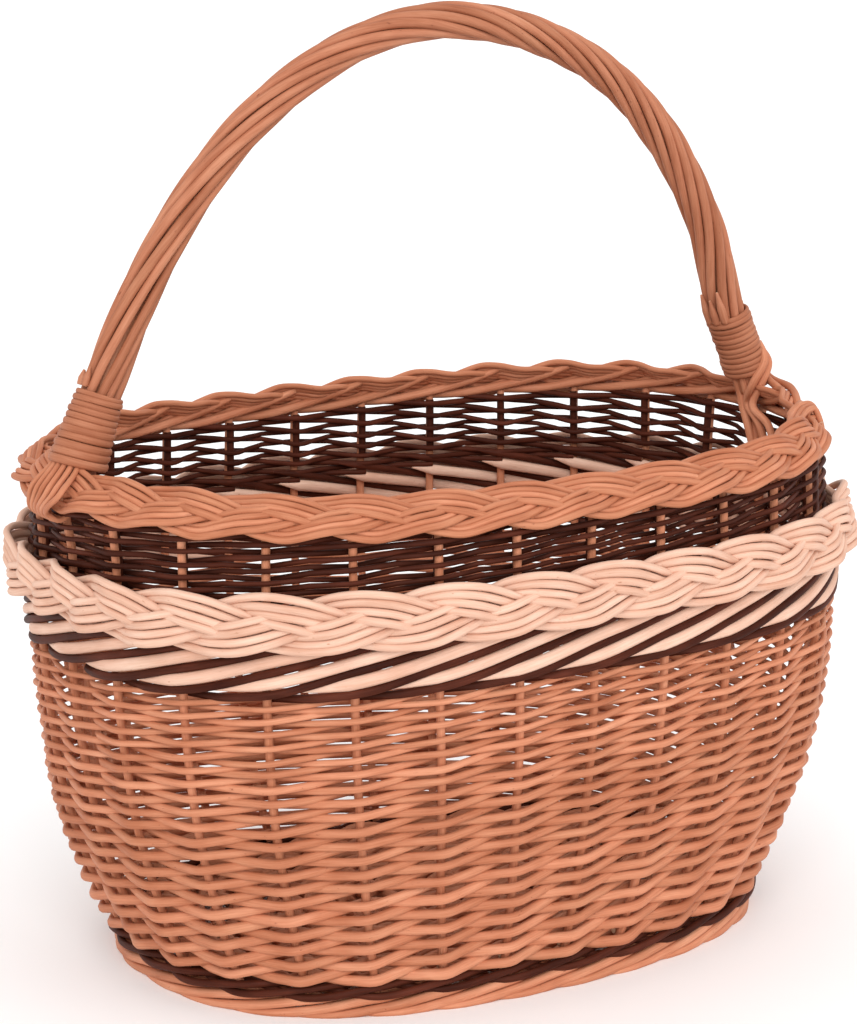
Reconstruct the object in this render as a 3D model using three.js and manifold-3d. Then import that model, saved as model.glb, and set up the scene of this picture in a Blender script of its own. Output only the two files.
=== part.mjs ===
// Oval willow basket with a fixed roped handle.
//
// The basket is made as a basket maker makes it. A slath of slit cross sticks and long sticks is
// woven into a flat oval base. Side stakes run under the edge of the base, bend up and carry
// everything else: a waled foot, a dark wale, the randed side, a band of slewed dark and pale rods,
// a pale plait laid round the outside, an open dark collar and a plaited rim. A bow is pushed down
// beside the two end stakes, roped with rods, bound at both ends and looped under the rim.
//
// Millimetres, Z up, X along the basket and the handle. The origin is on the floor, in the middle.

import * as THREE from "three";
import { mergeVertices } from "three/addons/utils/BufferGeometryUtils.js";
import Module from "manifold-3d";

// Stakes and the shape of the wall. Lengths and widths are those of the middle of the wall.
const STAKE_COUNT = 28;
const STAKE_DIAMETER = 4.6;
const FOOT_LENGTH = 325;
const FOOT_WIDTH = 233;
const SIDE_LENGTH = 412;
const SIDE_WIDTH = 296;
const PLAN_SQUARENESS = 2.5;
const WALL_BULGE = 1.85;
const COLLAR_TAPER = 3;
const END_LIFT = 4;
const ROOT_LENGTH = 20;
const CLEARANCE = 0.5;

// Heights of the bands, from the floor up.
const FOOT_HEIGHT = 12;
const WALE_HEIGHT = 7.4;
const SIDE_HEIGHT = 150;
const COLLAR_HEIGHT = 35;
const RIM_HEIGHT = 21;

// Rods of the bands: thickness is measured through the wall, height up the wall.
const FOOT_ROD = 3.6;
const FLOOR_CUT = 0.5;
const WALE_ROD = 2.2;
const SIDE_ROD_THICKNESS = 4.4;
const SIDE_ROD_HEIGHT = 6.8;
const SIDE_ROW_PITCH = 8.3;
const SIDE_WEAVERS = 2;
const SLEW_ROD = 3.7;
const SLEW_STEP = 8.6;
const SLEW_STROKE = 4;
const COLLAR_ROD_THICKNESS = 2.8;
const COLLAR_ROD_HEIGHT = 4;
const COLLAR_ROW_PITCH = 6;

// Plaits: a flat strand swings across the plait and over its neighbours.
const PLAIT_STRANDS = 3;
const PLAIT_STEPS = 6;
const STRAND_THICKNESS = 2.2;
const PALE_PLAIT_SWING = 11;
const PALE_STRAND_WIDTH = 9;
const RIM_PLAIT_SWING = 8.5;
const RIM_STRAND_WIDTH = 6.8;
const RIM_TILT = 35;
const RIM_BULGE = 9.5;

// Handle.
const BOW_DIAMETER = 8.4;
const BOW_DEPTH = 150;
const HANDLE_TOP = 469;
const HANDLE_LEAN = 7;
const HANDLE_ROD_COUNT = 8;
const HANDLE_ROD = 5;
const HANDLE_TWIST = 2.2;
const HANDLE_STEPS = 24;
const BINDING_TURNS = 10;
const BINDING_ROD = 3;
const BINDING_PITCH = 3.5;
const BINDING_STEPS = 10;
const LOOP_WIDTH = 14;
const LOOP_THICKNESS = 2.4;

// Base.
const CROSS_STICK_COUNT = 4;
const CROSS_STICK_SPACING = 46;
const CROSS_STICK_DIAMETER = 7;
const LONG_STICK_COUNT = 3;
const LONG_STICK_WIDTH = 6;
const LONG_STICK_THICKNESS = 3;
const LONG_STICK_SPACING = 9;
const FAN_SLOPE = 0.75;
const BASE_ROD_THICKNESS = 2.4;
const BASE_ROD_WIDTH = 7;
const BASE_ROWS = 9;

// Sizes that follow from those above.
const stakeRadius = STAKE_DIAMETER / 2;
const rootZ = stakeRadius + 1.7;
const sideBottomZ = FOOT_HEIGHT + WALE_HEIGHT + 0.6;
const sideTopZ = sideBottomZ + SIDE_HEIGHT;
const slewHeight = SLEW_STEP * (SLEW_STROKE - 0.5) + SLEW_ROD;
const collarBottomZ = sideTopZ + slewHeight + 1.2;
const collarTopZ = collarBottomZ + COLLAR_HEIGHT;
const rimZ = collarTopZ + RIM_HEIGHT / 2 + LOOP_THICKNESS + 0.8;
const bowOffset = stakeRadius + BOW_DIAMETER / 2 + CLEARANCE;
const bowEndZ = rimZ - BOW_DEPTH;
const endStakes = [0, STAKE_COUNT / 2];

const { Manifold, Mesh: SolidMesh } = await loadSolidKernel();

async function loadSolidKernel() {
  const kernel = await Module();
  kernel.setup();
  return kernel;
}

// Colours of the rods.
const BUFF = 0xd98c69;
const PALE = 0xf0cdaf;
const DARK = 0x3c2320;

const basket = new THREE.Group();
basket.name = "basket";

function addPiece(name, geometry, colour) {
  const material = new THREE.MeshStandardMaterial({ color: colour, roughness: 0.6 });
  const mesh = new THREE.Mesh(geometry, material);
  mesh.name = name;
  basket.add(mesh);
}

function numbered(name, index) {
  return `${name}_${String(index + 1).padStart(2, "0")}`;
}

// A closed solid for joining and cutting.
function toSolid(geometry) {
  const bare = new THREE.BufferGeometry();
  bare.setAttribute("position", geometry.getAttribute("position"));
  if (geometry.index) bare.setIndex(geometry.index);
  const welded = mergeVertices(bare, 1e-4);
  const mesh = new SolidMesh({
    numProp: 3,
    vertProperties: new Float32Array(welded.getAttribute("position").array),
    triVerts: new Uint32Array(welded.index.array),
  });
  return new Manifold(mesh);
}

function fromSolid(solid) {
  const mesh = solid.getMesh();
  const geometry = new THREE.BufferGeometry();
  geometry.setAttribute("position", new THREE.BufferAttribute(new Float32Array(mesh.vertProperties), 3));
  geometry.setIndex(Array.from(mesh.triVerts));
  return geometry;
}

function cut(geometry, cutters) {
  let solid = toSolid(geometry);
  for (const cutter of cutters) solid = solid.subtract(toSolid(cutter));
  return fromSolid(solid.simplify(0.01));
}

// Plan of the basket: an oval with a little squareness.
function ovalPoint(angle, halfLength, halfWidth) {
  const power = 2 / PLAN_SQUARENESS;
  const c = Math.cos(angle);
  const s = Math.sin(angle);
  return [
    halfLength * Math.sign(c) * Math.abs(c) ** power,
    halfWidth * Math.sign(s) * Math.abs(s) ** power,
  ];
}

// Angles at equal distances round the top of the side, so that the stakes stand evenly.
const PLAN_SAMPLES = 4000;
const planLength = [0];
for (let i = 1; i <= PLAN_SAMPLES; i += 1) {
  const [x0, y0] = ovalPoint(((i - 1) / PLAN_SAMPLES) * 2 * Math.PI, SIDE_LENGTH / 2, SIDE_WIDTH / 2);
  const [x1, y1] = ovalPoint((i / PLAN_SAMPLES) * 2 * Math.PI, SIDE_LENGTH / 2, SIDE_WIDTH / 2);
  planLength.push(planLength[i - 1] + Math.hypot(x1 - x0, y1 - y0));
}

function planAngle(station) {
  const turns = station / STAKE_COUNT;
  const share = turns - Math.floor(turns);
  const wanted = share * planLength[PLAN_SAMPLES];
  let low = 0;
  let high = PLAN_SAMPLES;
  while (high - low > 1) {
    const middle = (low + high) >> 1;
    if (planLength[middle] <= wanted) low = middle;
    else high = middle;
  }
  const part = (wanted - planLength[low]) / (planLength[high] - planLength[low]);
  return ((low + part) / PLAN_SAMPLES) * 2 * Math.PI;
}

// Middle of the wall at a station, counted in stakes round the basket, and a height.
function wallPoint(station, height) {
  const climb = THREE.MathUtils.clamp((height - rootZ) / (sideTopZ - rootZ), 0, 1);
  const spread = 1 - (1 - climb) ** WALL_BULGE;
  const above = Math.max(0, (height - sideTopZ) / (rimZ - sideTopZ));
  const halfLength = (FOOT_LENGTH + (SIDE_LENGTH - FOOT_LENGTH) * spread) / 2 - COLLAR_TAPER * above;
  const halfWidth = (FOOT_WIDTH + (SIDE_WIDTH - FOOT_WIDTH) * spread) / 2 - COLLAR_TAPER * above;
  const [x, y] = ovalPoint(planAngle(station), halfLength, halfWidth);
  return new THREE.Vector3(x, y, height + END_LIFT * above * (x / halfLength) ** 2);
}

// Directions round the wall, up the wall and out of it.
function wallFrame(station, height) {
  const along = wallPoint(station + 0.02, height).sub(wallPoint(station - 0.02, height)).normalize();
  const rise = wallPoint(station, height + 0.5).sub(wallPoint(station, height - 0.5)).normalize();
  const out = new THREE.Vector3().crossVectors(along, rise).normalize();
  return { along, rise: new THREE.Vector3().crossVectors(out, along), out };
}

function offWall(station, height, offset) {
  return wallPoint(station, height).addScaledVector(wallFrame(station, height).out, offset);
}

// The line of a rod, with the direction that the first axis of its section looks in at each point.
class RodPath extends THREE.Curve {
  constructor(points, faces) {
    super();
    this.points = points;
    this.faces = faces;
  }

  getSpacedPoints() {
    return this.points;
  }

  computeFrenetFrames() {
    const last = this.points.length - 1;
    const tangents = this.points.map((point, i) =>
      this.points[Math.min(i + 1, last)].clone().sub(this.points[Math.max(i - 1, 0)]).normalize(),
    );
    const normals = tangents.map((tangent, i) =>
      this.faces[i].clone().addScaledVector(tangent, -tangent.dot(this.faces[i])).normalize(),
    );
    const binormals = tangents.map((tangent, i) => new THREE.Vector3().crossVectors(tangent, normals[i]));
    return { tangents, normals, binormals };
  }
}

// A rod: one section carried along a line and closed at both ends.
function rod(points, faces, section) {
  return new THREE.ExtrudeGeometry(section, {
    steps: points.length - 1,
    curveSegments: 1,
    extrudePath: new RodPath(points, faces),
  });
}

function roundSection(diameter, sides) {
  const corners = [];
  for (let i = 0; i < sides; i += 1) {
    const angle = ((i + 0.5) / sides) * 2 * Math.PI;
    corners.push(new THREE.Vector2(Math.cos(angle), Math.sin(angle)).multiplyScalar(diameter / 2));
  }
  return new THREE.Shape(corners);
}

function flatSection(thickness, width) {
  return new THREE.Shape([
    new THREE.Vector2(-thickness / 2, -width / 2),
    new THREE.Vector2(thickness / 2, -width / 2),
    new THREE.Vector2(thickness / 2, width / 2),
    new THREE.Vector2(-thickness / 2, width / 2),
  ]);
}

// Half of a split rod: a ridge outside and a flat inside.
function splitSection(thickness, height) {
  return new THREE.Shape([
    new THREE.Vector2(thickness / 2, 0),
    new THREE.Vector2(-thickness / 2, height / 2),
    new THREE.Vector2(-thickness / 2, -height / 2),
  ]);
}

// A rod that follows the wall through a list of [station, height, offset].
function wallRod(stops, section) {
  const points = stops.map(([station, height, offset]) => offWall(station, height, offset));
  const faces = stops.map(([station, height]) => wallFrame(station, height).out);
  return rod(points, faces, section);
}

function isEndStake(station) {
  const stake = ((Math.round(station) % STAKE_COUNT) + STAKE_COUNT) % STAKE_COUNT;
  return endStakes.includes(stake);
}

// How far from the middle of the wall a rod lies that passes in front of a stake, or behind it.
function strokeOffset(station, height, inFront, thickness) {
  const offset = stakeRadius + CLEARANCE + thickness / 2;
  if (inFront) return offset;
  const besideBow = isEndStake(station) && height > bowEndZ - 12;
  return -(offset + (besideBow ? BOW_DIAMETER + CLEARANCE : 0));
}

// Stakes: a root under the base, a bend and a long climb to the rim.
const stakeHeights = [18, 40, 75, 120, sideTopZ, collarBottomZ, rimZ - RIM_HEIGHT / 2 + 0.3];
for (let stake = 0; stake < STAKE_COUNT; stake += 1) {
  const foot = wallPoint(stake, rootZ);
  const { along, out } = wallFrame(stake, rootZ);
  const level = out.clone().setZ(0).normalize();
  const points = [
    foot.clone().addScaledVector(level, -ROOT_LENGTH),
    foot.clone().addScaledVector(level, -2.6),
    foot.clone().addScaledVector(level, 0.8).setZ(rootZ + 2.4),
    ...stakeHeights.map((height) => wallPoint(stake, height)),
  ];
  const faces = points.map((point, i) => (i < 3 ? along : wallFrame(stake, point.z).along));
  addPiece(numbered("stake", stake), rod(points, faces, roundSection(STAKE_DIAMETER, 4)), BUFF);
}

// Three-rod wale as one long rod: in front of two stakes, behind one, three times round.
function waleStops(levels, thickness) {
  const stops = [];
  const first = 2;
  const count = PLAIT_STRANDS * STAKE_COUNT;
  const slip = STAKE_COUNT % PLAIT_STRANDS === 0 ? 1 : 0;
  for (let i = 0; i < count; i += 1) {
    const station = first + i;
    const place = (station + slip * Math.floor(i / STAKE_COUNT)) % PLAIT_STRANDS;
    stops.push([station, levels[place], strokeOffset(station, 0, place !== 2, thickness)]);
  }
  stops.push([first + count - 0.55, (levels[1] + levels[2]) / 2, 0]);
  return stops;
}

// Foot: it stands on the low strokes, which are worn flat.
const footLow = FOOT_ROD / 2 - FLOOR_CUT;
const footHigh = FOOT_HEIGHT - FOOT_ROD / 2;
const footBehind = rootZ + stakeRadius + FOOT_ROD / 2 + 0.4;
const footGeometry = wallRod(
  waleStops([footLow, footHigh, footBehind], FOOT_ROD),
  flatSection(FOOT_ROD, FOOT_ROD),
);
const floorBlock = new THREE.BoxGeometry(2 * SIDE_LENGTH, 2 * SIDE_LENGTH, 20);
floorBlock.translate(0, 0, -10);
addPiece("foot_border", cut(footGeometry, [floorBlock]), BUFF);

const waleMiddle = FOOT_HEIGHT + 0.4 + WALE_HEIGHT / 2;
const waleSwing = (WALE_HEIGHT - WALE_ROD) / 2;
addPiece(
  "foot_wale",
  wallRod(
    waleStops([waleMiddle - waleSwing, waleMiddle + waleSwing, waleMiddle], WALE_ROD),
    flatSection(WALE_ROD, WALE_ROD),
  ),
  DARK,
);

// Randing: each weaver goes in front of one stake and behind the next and climbs as it goes round.
function randing(name, bottom, top, pitch, thickness, height, colour) {
  const rise = (pitch * SIDE_WEAVERS) / STAKE_COUNT;
  const start = bottom + height / 2;
  const strokes = Math.floor((top - height / 2 - start) / rise);
  for (let weaver = 0; weaver < SIDE_WEAVERS; weaver += 1) {
    const first = Math.round((weaver * STAKE_COUNT) / SIDE_WEAVERS);
    const stops = [];
    for (let i = 0; i <= strokes; i += 1) {
      const station = first + i;
      const level = start + rise * i;
      const inFront = (station + weaver) % 2 === 0;
      stops.push([station, level, strokeOffset(station, level, inFront, thickness)]);
    }
    addPiece(numbered(name, weaver), wallRod(stops, splitSection(thickness, height)), colour);
  }
}

randing(
  "side_weaver",
  sideBottomZ,
  sideTopZ,
  SIDE_ROW_PITCH,
  SIDE_ROD_THICKNESS,
  SIDE_ROD_HEIGHT,
  BUFF,
);
randing(
  "collar_weaver",
  collarBottomZ,
  collarTopZ,
  COLLAR_ROW_PITCH,
  COLLAR_ROD_THICKNESS,
  COLLAR_ROD_HEIGHT,
  DARK,
);

// Slewing: one dark and one pale rod start at every stake and climb across the stakes that follow.
// The dark rods run level first and join in the dark line below, the pale rods run level last.
const slewOffset = stakeRadius + CLEARANCE + SLEW_ROD / 2 + 0.6;
const slewBottom = sideTopZ + SLEW_ROD / 2 + 0.3;

function slewBand(levels, tails) {
  const section = splitSection(SLEW_ROD, SLEW_ROD);
  const rods = [];
  for (let stake = 0; stake < STAKE_COUNT; stake += 1) {
    const stops = levels.map((level, i) => [stake + i, slewBottom + level * SLEW_STEP, slewOffset]);
    const [lastStation, lastHeight] = stops[stops.length - 1];
    stops[0] = [stake - tails.before, stops[0][1] + tails.beforeLift, slewOffset];
    stops[stops.length - 1] = [lastStation + tails.after, lastHeight + tails.afterLift, slewOffset];
    rods.push(toSolid(wallRod(stops, section)));
  }
  return fromSolid(Manifold.union(rods).simplify(0.02));
}

const darkLevels = [];
const paleLevels = [];
for (let i = 0; i <= SLEW_STROKE; i += 1) {
  darkLevels.push(Math.max(0, i - 1));
  paleLevels.push(Math.min(i, SLEW_STROKE - 1) + 0.5);
}
const freeTail = 0.04;
const freeLift = freeTail * SLEW_STEP;
const joinTail = 0.1;
const joinLift = 0.5;
addPiece(
  "slew_dark",
  slewBand(darkLevels, {
    before: joinTail,
    beforeLift: -joinLift,
    after: freeTail,
    afterLift: freeLift,
  }),
  DARK,
);
addPiece(
  "slew_pale",
  slewBand(paleLevels, {
    before: freeTail,
    beforeLift: -freeLift,
    after: joinTail,
    afterLift: joinLift,
  }),
  PALE,
);

// Neighbouring strands must clear one another where their edges pass.
const plaitLift = (STRAND_THICKNESS + 0.35) / (0.5 * Math.sin(Math.PI / 3));

// A plait of three strands. With this count of lobes the strands are one rod, three times round.
function plait(lobes, swing, width, centre, tilt) {
  const lift = plaitLift;
  const steps = lobes * PLAIT_STEPS - 1;
  const points = [];
  const faces = [];
  for (let i = 0; i <= steps; i += 1) {
    const turn = (i / PLAIT_STEPS) * 2 * Math.PI;
    const station = (i / (lobes * PLAIT_STEPS)) * PLAIT_STRANDS * STAKE_COUNT;
    const { height, offset } = centre(station);
    const { rise, out } = wallFrame(station, height);
    const across = rise.clone().multiplyScalar(Math.cos(tilt)).addScaledVector(out, -Math.sin(tilt));
    const face = out.clone().multiplyScalar(Math.cos(tilt)).addScaledVector(rise, Math.sin(tilt));
    points.push(
      offWall(station, height, offset)
        .addScaledVector(across, swing * Math.cos(turn))
        .addScaledVector(face, lift * Math.sin(2 * turn)),
    );
    faces.push(face);
  }
  return rod(points, faces, flatSection(STRAND_THICKNESS, width));
}

// Lobes of a plait: one to each stake, or one more where the strands would not join up.
function lobeCount(wanted) {
  return wanted % PLAIT_STRANDS === 0 ? wanted + 1 : wanted;
}

const plaitDepth = plaitLift * Math.sin(Math.PI / 3) + STRAND_THICKNESS / 2;
const palePlaitZ = collarBottomZ + 4;
const palePlaitOffset = slewOffset + SLEW_ROD / 2 + 0.4 + plaitDepth;
addPiece(
  "pale_plait",
  plait(
    lobeCount(STAKE_COUNT),
    PALE_PLAIT_SWING,
    PALE_STRAND_WIDTH,
    () => ({ height: palePlaitZ, offset: palePlaitOffset }),
    0,
  ),
  PALE,
);

// The rim plait swings outwards where it passes the bow.
function rimOffset(station) {
  let bulge = 0;
  for (const stake of endStakes) {
    const turns = (station - stake) / STAKE_COUNT;
    const away = (turns - Math.round(turns)) * STAKE_COUNT;
    bulge += RIM_BULGE * Math.exp(-(away ** 2));
  }
  return bulge - 1;
}

addPiece(
  "rim_plait",
  plait(
    lobeCount(STAKE_COUNT),
    RIM_PLAIT_SWING,
    RIM_STRAND_WIDTH,
    (station) => ({ height: rimZ, offset: rimOffset(station) }),
    THREE.MathUtils.degToRad(RIM_TILT),
  ),
  BUFF,
);

// Handle bow: a low arch, leaning a little to the right, whose ends run down inside the wall beside
// the end stakes.
const archBottom = rimZ + RIM_HEIGHT / 2 + END_LIFT + 2;
const legTop = rimZ - 2;
const archHalfSpan = offWall(0, legTop, -bowOffset).x;
const sideways = new THREE.Vector3(0, 1, 0);

function archPoint(share) {
  const s = 2 * share - 1;
  const drop = 0.69 * s ** 2 + 0.31 * s ** 6;
  const x = s * archHalfSpan + HANDLE_LEAN * (1 - s ** 4);
  return new THREE.Vector3(x, 0, HANDLE_TOP - (HANDLE_TOP - archBottom) * drop);
}

function archFrame(share) {
  const ahead = archPoint(share + 0.001).sub(archPoint(share - 0.001)).normalize();
  return { ahead, outward: new THREE.Vector3().crossVectors(sideways, ahead).negate() };
}

// Equal steps along the arch.
const ARCH_SAMPLES = 1000;
const archLength = [0];
for (let i = 1; i <= ARCH_SAMPLES; i += 1) {
  const step = archPoint(i / ARCH_SAMPLES).distanceTo(archPoint((i - 1) / ARCH_SAMPLES));
  archLength.push(archLength[i - 1] + step);
}
const archTotal = archLength[ARCH_SAMPLES];

function archShare(distance) {
  let i = 1;
  while (i < ARCH_SAMPLES && archLength[i] < distance) i += 1;
  const part = (distance - archLength[i - 1]) / (archLength[i] - archLength[i - 1]);
  return (i - 1 + part) / ARCH_SAMPLES;
}

const archPoints = [];
for (let i = 0; i <= HANDLE_STEPS; i += 1) {
  archPoints.push(archPoint(archShare((i / HANDLE_STEPS) * archTotal)));
}
const LEG_STEPS = 6;
const legHeights = [];
for (let i = 0; i <= LEG_STEPS; i += 1) {
  legHeights.push(THREE.MathUtils.lerp(bowEndZ, legTop, i / LEG_STEPS));
}
const rightLeg = legHeights.map((height) => offWall(endStakes[0], height, -bowOffset).setY(0));
const leftLeg = rightLeg.map((point) => new THREE.Vector3(-point.x, 0, point.z));
const bowPoints = [...leftLeg, ...archPoints, ...rightLeg.reverse()];
addPiece(
  "handle_bow",
  rod(bowPoints, bowPoints.map(() => sideways), roundSection(BOW_DIAMETER, 6)),
  BUFF,
);

function aroundArch(distance, radius, angle) {
  const share = archShare(distance);
  const { outward } = archFrame(share);
  const face = sideways.clone().multiplyScalar(Math.cos(angle)).addScaledVector(outward, Math.sin(angle));
  return { point: archPoint(share).addScaledVector(face, radius), face };
}

// Roping rods lie side by side round the bow and twist along it.
const ropeRadius = BOW_DIAMETER / 2 + CLEARANCE + HANDLE_ROD / 2 + 0.1;
for (let index = 0; index < HANDLE_ROD_COUNT; index += 1) {
  const stops = [];
  for (let i = 0; i <= HANDLE_STEPS; i += 1) {
    const share = i / HANDLE_STEPS;
    const angle = 2 * Math.PI * (index / HANDLE_ROD_COUNT + HANDLE_TWIST * share);
    stops.push(aroundArch(share * archTotal, ropeRadius, angle));
  }
  const points = stops.map((stop) => stop.point);
  const faces = stops.map((stop) => stop.face);
  addPiece(numbered("handle_rod", index), rod(points, faces, roundSection(HANDLE_ROD, 4)), BUFF);
}

// Bindings: one rod wound round the roping at each end of the arch.
const bindingRadius = ropeRadius + HANDLE_ROD / 2 + 0.4 + BINDING_ROD / 2;
const bindingStart = BINDING_ROD + 1;
let leastGap = Infinity;

function binding(name, fromDistance, direction) {
  const count = BINDING_TURNS * BINDING_STEPS;
  const stops = [];
  for (let i = 0; i <= count; i += 1) {
    const distance = fromDistance + direction * BINDING_PITCH * (i / BINDING_STEPS);
    stops.push(aroundArch(distance, bindingRadius, (2 * Math.PI * i) / BINDING_STEPS));
  }
  const points = stops.map((stop) => stop.point);
  const faces = stops.map((stop) => stop.face);
  for (let i = 0; i <= count; i += 1) {
    for (let j = i + BINDING_STEPS - 2; j <= count; j += 1) {
      leastGap = Math.min(leastGap, points[i].distanceTo(points[j]) - BINDING_ROD);
    }
  }
  const firstWay = points[0].clone().sub(points[1]).setLength(BINDING_ROD);
  const lastWay = points[count].clone().sub(points[count - 1]).setLength(BINDING_ROD);
  points.unshift(points[0].clone().add(firstWay));
  points.push(points[count + 1].clone().add(lastWay));
  faces.unshift(faces[0]);
  faces.push(faces[count + 1]);
  addPiece(name, rod(points, faces, roundSection(BINDING_ROD, 5)), BUFF);
}

binding("handle_binding_left", bindingStart, 1);
binding("handle_binding_right", archTotal - bindingStart, -1);
console.log(`least gap between turns of a binding: ${leastGap.toFixed(2)} mm`);

// Loops: ends of the roping that run over the rim, through the wall below it and up inside.
function rimLoop(name, station) {
  const middle = rimOffset(station);
  const reach = RIM_HEIGHT / 2 + LOOP_THICKNESS / 2;
  const height = RIM_HEIGHT / 2 + LOOP_THICKNESS / 2 + 0.4;
  const stops = [
    [-reach - 2, height + 14],
    [-reach * 0.7, height + 4],
    [reach * 0.6, height],
    [reach, height * 0.6],
    [reach, -height * 0.6],
    [reach * 0.65, -height],
    [-reach * 0.65, -height],
    [-reach, -height * 0.6],
    [-reach, height * 0.4],
  ];
  const { along, rise, out } = wallFrame(station, rimZ);
  const points = stops.map(([across, up]) =>
    wallPoint(station, rimZ).addScaledVector(out, middle + across).addScaledVector(rise, up),
  );
  const faces = stops.map(() => along);
  addPiece(name, rod(points, faces, flatSection(LOOP_WIDTH, LOOP_THICKNESS)), BUFF);
}

rimLoop("handle_loop_left", endStakes[1] + 0.55);
rimLoop("handle_loop_right", endStakes[0] - 0.55);

// Base: cross sticks are slit and the long sticks are pushed through them.
const baseReach = CROSS_STICK_DIAMETER / 2 + 2 * CLEARANCE + BASE_ROD_THICKNESS / 2;
const baseZ = rootZ + stakeRadius + 0.3 + baseReach + BASE_ROD_THICKNESS / 2;
const baseEdge = wallPoint(0, baseZ).x - 9;
const baseSide = wallPoint(STAKE_COUNT / 4, baseZ).y - 9;
const slathEnd = ((CROSS_STICK_COUNT - 1) / 2) * CROSS_STICK_SPACING + 12;

function ovalReach(across, halfLong, halfAcross) {
  return halfLong * (1 - Math.min(1, Math.abs(across / halfAcross)) ** PLAN_SQUARENESS) ** (1 / PLAN_SQUARENESS);
}

const crossPositions = [];
for (let index = 0; index < CROSS_STICK_COUNT; index += 1) {
  const x = (index - (CROSS_STICK_COUNT - 1) / 2) * CROSS_STICK_SPACING;
  crossPositions.push(x);
  const end = ovalReach(x, baseSide, baseEdge);
  const points = [new THREE.Vector3(x, -end, baseZ), new THREE.Vector3(x, end, baseZ)];
  const faces = points.map(() => new THREE.Vector3(1, 0, 0));
  const slit = new THREE.BoxGeometry(
    2 * CROSS_STICK_DIAMETER,
    (LONG_STICK_COUNT - 1) * LONG_STICK_SPACING + LONG_STICK_WIDTH + 2 * CLEARANCE,
    LONG_STICK_THICKNESS + 0.6,
  );
  slit.translate(x, 0, baseZ);
  const stick = cut(rod(points, faces, roundSection(CROSS_STICK_DIAMETER, 8)), [slit]);
  addPiece(numbered("base_cross_stick", index), stick, BUFF);
}

// Beyond the last cross stick the outer long sticks fan out.
function fanY(lane, x) {
  const fan = Math.max(0, Math.abs(x) - slathEnd) * FAN_SLOPE;
  return lane * LONG_STICK_SPACING + Math.sign(lane) * fan;
}

function fanReach(lane, halfLength, halfWidth) {
  let low = 0;
  let high = halfLength;
  for (let i = 0; i < 40; i += 1) {
    const x = (low + high) / 2;
    const inside =
      (x / halfLength) ** PLAN_SQUARENESS + Math.abs(fanY(lane, x) / halfWidth) ** PLAN_SQUARENESS < 1;
    if (inside) low = x;
    else high = x;
  }
  return low;
}

const lanes = [];
for (let index = 0; index < LONG_STICK_COUNT; index += 1) {
  const lane = index - (LONG_STICK_COUNT - 1) / 2;
  lanes.push(lane);
  const end = fanReach(lane, baseEdge, baseSide);
  const stops = [-end, -slathEnd, slathEnd, end];
  const points = stops.map((x) => new THREE.Vector3(x, fanY(lane, x), baseZ));
  const faces = points.map(() => new THREE.Vector3(0, 0, 1));
  const section = flatSection(LONG_STICK_THICKNESS, LONG_STICK_WIDTH);
  addPiece(numbered("base_long_stick", index), rod(points, faces, section), BUFF);
}

// Spokes of the base in order round it. A null spoke is a corner that the weaving rounds freely.
const longReach = baseReach;
const upperLanes = lanes.filter((lane) => lane >= 0);
const spokes = [];
for (const lane of upperLanes) spokes.push({ lane, end: 1, reach: longReach });
spokes.push(null);
for (const x of [...crossPositions].reverse()) spokes.push({ x, side: 1, reach: baseReach });
spokes.push(null);
for (const lane of [...lanes].reverse()) spokes.push({ lane, end: -1, reach: longReach });
spokes.push(null);
for (const x of crossPositions) spokes.push({ x, side: -1, reach: baseReach });
spokes.push(null);
for (const lane of lanes.filter((each) => each < 0)) spokes.push({ lane, end: 1, reach: longReach });

function spokePoint(spoke, halfLength, halfWidth) {
  if (spoke.lane === undefined) {
    return new THREE.Vector3(spoke.x, spoke.side * ovalReach(spoke.x, halfWidth, halfLength), baseZ);
  }
  const x = fanReach(spoke.lane, halfLength, halfWidth);
  return new THREE.Vector3(spoke.end * x, fanY(spoke.lane, x), baseZ);
}

const upward = new THREE.Vector3(0, 0, 1);
const spokeTotal = spokes.filter((spoke) => spoke).length;
const outerRing = [baseEdge - BASE_ROD_WIDTH / 2 - 1, baseSide - BASE_ROD_WIDTH / 2 - 1];
const innerRing = [slathEnd + 2 * BASE_ROD_WIDTH, (LONG_STICK_COUNT + 1) * LONG_STICK_SPACING];
const spokeLists = [];
for (let weaver = 0; weaver < SIDE_WEAVERS; weaver += 1) {
  const points = [];
  let passed = 0;
  let stroke = weaver;
  const total = Math.floor((spokeTotal * (BASE_ROWS - 1)) / SIDE_WEAVERS);
  const offset = weaver * Math.floor(spokes.length / SIDE_WEAVERS);
  for (let i = 0; passed <= total; i += 1) {
    const spoke = spokes[(i + offset) % spokes.length];
    const share = passed / total;
    const halfLength = THREE.MathUtils.lerp(innerRing[0], outerRing[0], share);
    const halfWidth = THREE.MathUtils.lerp(innerRing[1], outerRing[1], share);
    if (spoke) {
      const side = stroke % 2 === 0 ? 1 : -1;
      points.push(spokePoint(spoke, halfLength, halfWidth).addScaledVector(upward, side * spoke.reach));
      passed += 1;
      stroke += 1;
    } else {
      const before = spokes[(i + offset - 1 + spokes.length) % spokes.length];
      const after = spokes[(i + offset + 1) % spokes.length];
      const from = spokePoint(before, halfLength, halfWidth);
      const to = spokePoint(after, halfLength, halfWidth);
      const corner = from.clone().lerp(to, 0.5);
      const size =
        Math.abs(corner.x / halfLength) ** PLAN_SQUARENESS + Math.abs(corner.y / halfWidth) ** PLAN_SQUARENESS;
      corner.multiply(new THREE.Vector3(size ** (-1 / PLAN_SQUARENESS), size ** (-1 / PLAN_SQUARENESS), 1));
      points.push(corner);
    }
  }
  spokeLists.push(points);
}
spokeLists.forEach((points, weaver) => {
  const faces = points.map(() => upward);
  const section = splitSection(BASE_ROD_THICKNESS, BASE_ROD_WIDTH);
  addPiece(numbered("base_weaver", weaver), rod(points, faces, section), BUFF);
});

export default basket;
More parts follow.
